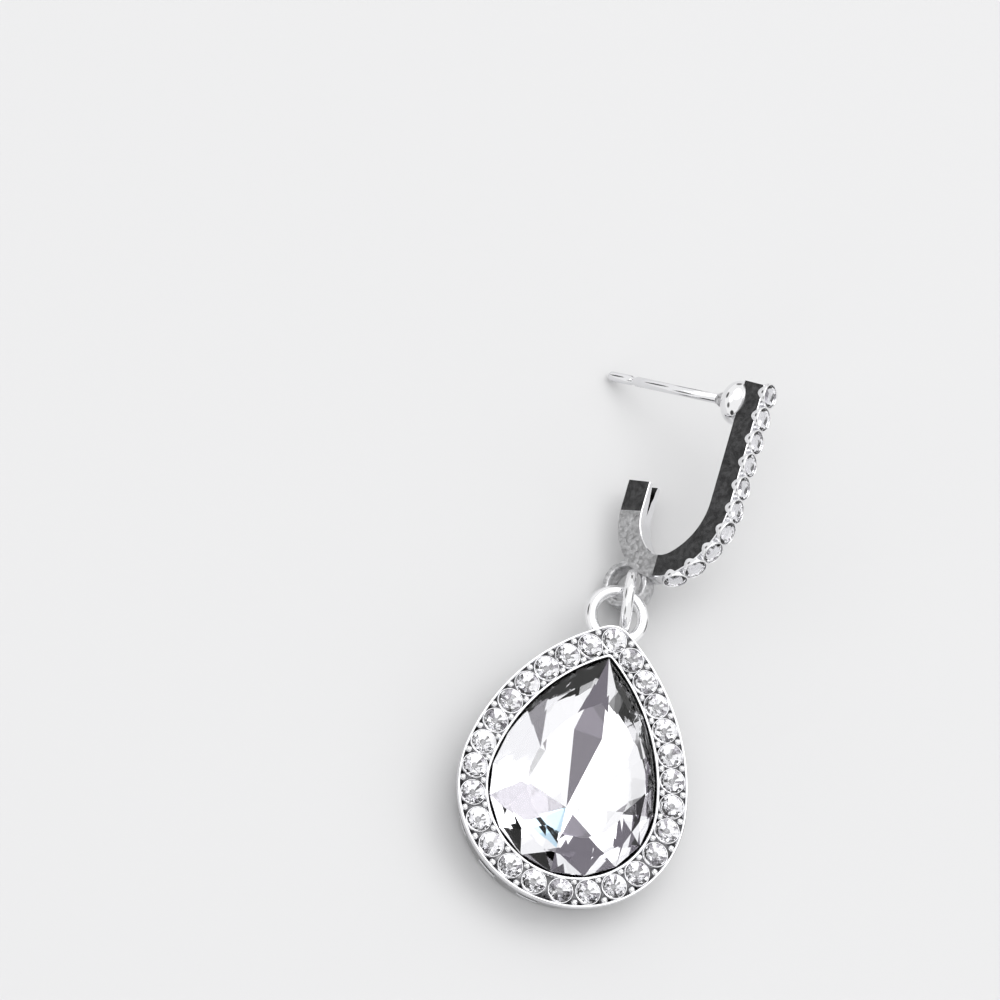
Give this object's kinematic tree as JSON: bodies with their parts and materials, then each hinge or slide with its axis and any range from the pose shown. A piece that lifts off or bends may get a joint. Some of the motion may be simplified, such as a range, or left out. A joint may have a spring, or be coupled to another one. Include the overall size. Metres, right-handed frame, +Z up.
{
  "type": "teardrop earring",
  "caption": "Teardrop drop earring: pear-shaped clear crystal in a halo of small round crystals, linked by a jump ring to a J-shaped crystal-set hoop with a straight ear post, lying flat.",
  "frame": {"origin": "middle of the part's underside, on the surface it lies on", "axes": "+Y from the pear's round end to the post, +Z up from the surface, +X to the right of the pear seen from above"},
  "size_m": [0.0186, 0.0474, 0.0111],
  "materials": {
    "silver": "polished",
    "crystal": "polished"
  },
  "bodies": {
    "root": {"hoop": "silver", "jump_ring": "silver", "pear_frame": "silver", "center_stone": "crystal", "halo_stone_01": "crystal", "halo_stone_02": "crystal", "halo_stone_03": "crystal", "halo_stone_04": "crystal", "halo_stone_05": "crystal", "halo_stone_06": "crystal", "halo_stone_07": "crystal", "halo_stone_08": "crystal", "halo_stone_09": "crystal", "halo_stone_10": "crystal", "halo_stone_11": "crystal", "halo_stone_12": "crystal", "halo_stone_13": "crystal", "halo_stone_14": "crystal", "halo_stone_15": "crystal", "halo_stone_16": "crystal", "halo_stone_17": "crystal", "halo_stone_18": "crystal", "halo_stone_19": "crystal", "halo_stone_20": "crystal", "halo_stone_21": "crystal", "halo_stone_22": "crystal", "halo_stone_23": "crystal", "halo_stone_24": "crystal", "halo_stone_25": "crystal", "halo_stone_26": "crystal", "halo_stone_27": "crystal", "hoop_stone_01": "crystal", "hoop_stone_02": "crystal", "hoop_stone_03": "crystal", "hoop_stone_04": "crystal", "hoop_stone_05": "crystal", "hoop_stone_06": "crystal", "hoop_stone_07": "crystal", "hoop_stone_08": "crystal", "hoop_stone_09": "crystal", "hoop_stone_10": "crystal"}
  },
  "joints": []
}
